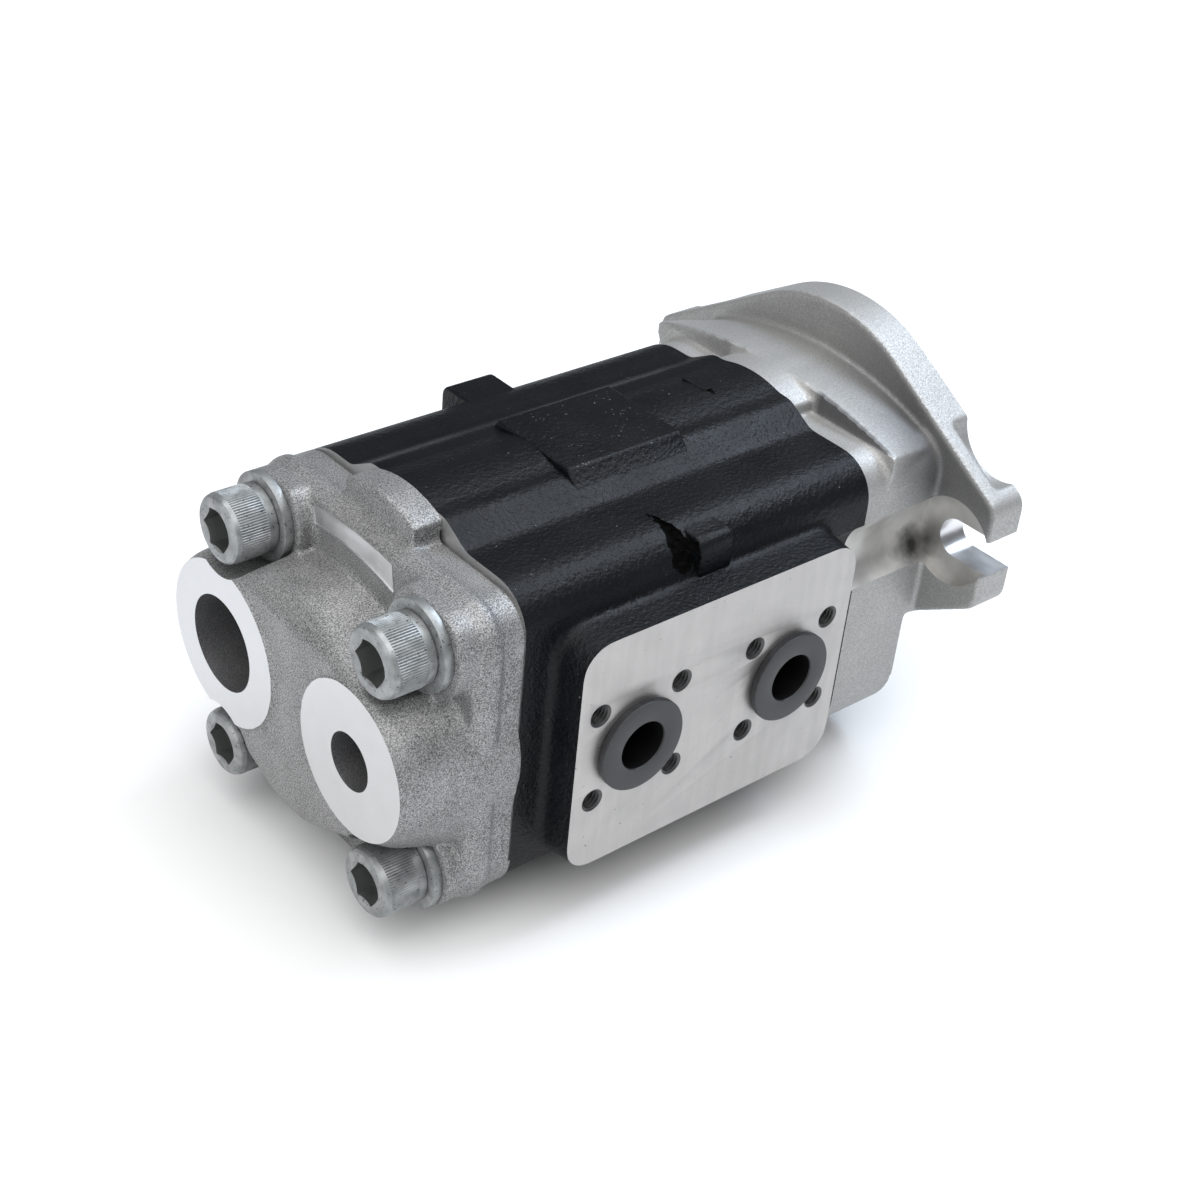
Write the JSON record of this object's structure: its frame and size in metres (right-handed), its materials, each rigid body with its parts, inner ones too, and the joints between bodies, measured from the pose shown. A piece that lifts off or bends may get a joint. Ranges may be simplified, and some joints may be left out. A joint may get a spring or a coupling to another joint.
{
  "type": "hydraulic pump",
  "caption": "Tandem external gear pump: cast iron body, alloy front flange with open slots and splined shaft, cast rear cover with blank port pads, plugged side ports.",
  "frame": {"origin": "centre of the mounting face, on the drive shaft axis, where the pilot spigot meets the flange", "axes": "+X along the drive shaft from the mounting face to the rear cover, +Y out of the discharge port face, +Z from the driven gears to the drive gears"},
  "size_m": [0.213, 0.13, 0.1152],
  "materials": {
    "front_cover_alloy": "cast, smooth",
    "body_paint": "satin black paint on cast iron",
    "rear_cover_alloy": "sand cast, bright machined pads",
    "zinc_plate": "zinc plated",
    "gear_steel": "ground",
    "bearing_bronze": "satin",
    "seal_rubber": "matt",
    "spring_steel": "satin",
    "cap_plastic": "matt"
  },
  "bodies": {
    "housing": {"mounting_flange": "front_cover_alloy", "pump_body": "body_paint", "rear_cover": "rear_cover_alloy", "cover_bolts": "zinc_plate", "bolt_washers": "zinc_plate", "flange_bushes": "bearing_bronze", "front_web_bushes": "bearing_bronze", "rear_web_bushes": "bearing_bronze", "cover_bushes": "bearing_bronze", "front_outer_plate": "bearing_bronze", "front_inner_plate": "bearing_bronze", "rear_inner_plate": "bearing_bronze", "rear_outer_plate": "bearing_bronze", "front_plate_seals": "seal_rubber", "rear_plate_seals": "seal_rubber", "front_body_seal": "seal_rubber", "rear_body_seal": "seal_rubber", "shaft_seal": "seal_rubber", "seal_spring": "spring_steel", "seal_ring": "spring_steel", "front_dowels": "gear_steel", "rear_dowels": "gear_steel"},
    "drive_line": {"drive_shaft": "gear_steel", "coupling_quill": "gear_steel", "rear_drive_gear": "gear_steel"},
    "front_driven": {"front_driven_gear": "gear_steel"},
    "rear_driven": {"rear_driven_gear": "gear_steel"},
    "front_cap": {"front_port_cap": "cap_plastic"},
    "rear_cap": {"rear_port_cap": "cap_plastic"}
  },
  "joints": [
    {"name": "shaft_spin", "type": "hinge", "parent": "housing", "child": "drive_line", "pos_m": [0, 0, 0], "axis": [1, 0, 0], "continuous": true},
    {"name": "front_driven_spin", "type": "hinge", "parent": "housing", "child": "front_driven", "pos_m": [0.06, 0, -0.035], "axis": [1, 0, 0], "continuous": true},
    {"name": "rear_driven_spin", "type": "hinge", "parent": "housing", "child": "rear_driven", "pos_m": [0.128, 0, -0.035], "axis": [1, 0, 0], "continuous": true},
    {"name": "front_cap_pull", "type": "slide", "parent": "housing", "child": "front_cap", "axis": [0, 1, 0], "range_m": [0, 0.02]},
    {"name": "rear_cap_pull", "type": "slide", "parent": "housing", "child": "rear_cap", "axis": [0, 1, 0], "range_m": [0, 0.02]}
  ],
  "couplings": [
    {"joint": "front_driven_spin", "follows": "shaft_spin", "ratio": -1},
    {"joint": "rear_driven_spin", "follows": "shaft_spin", "ratio": -1}
  ]
}
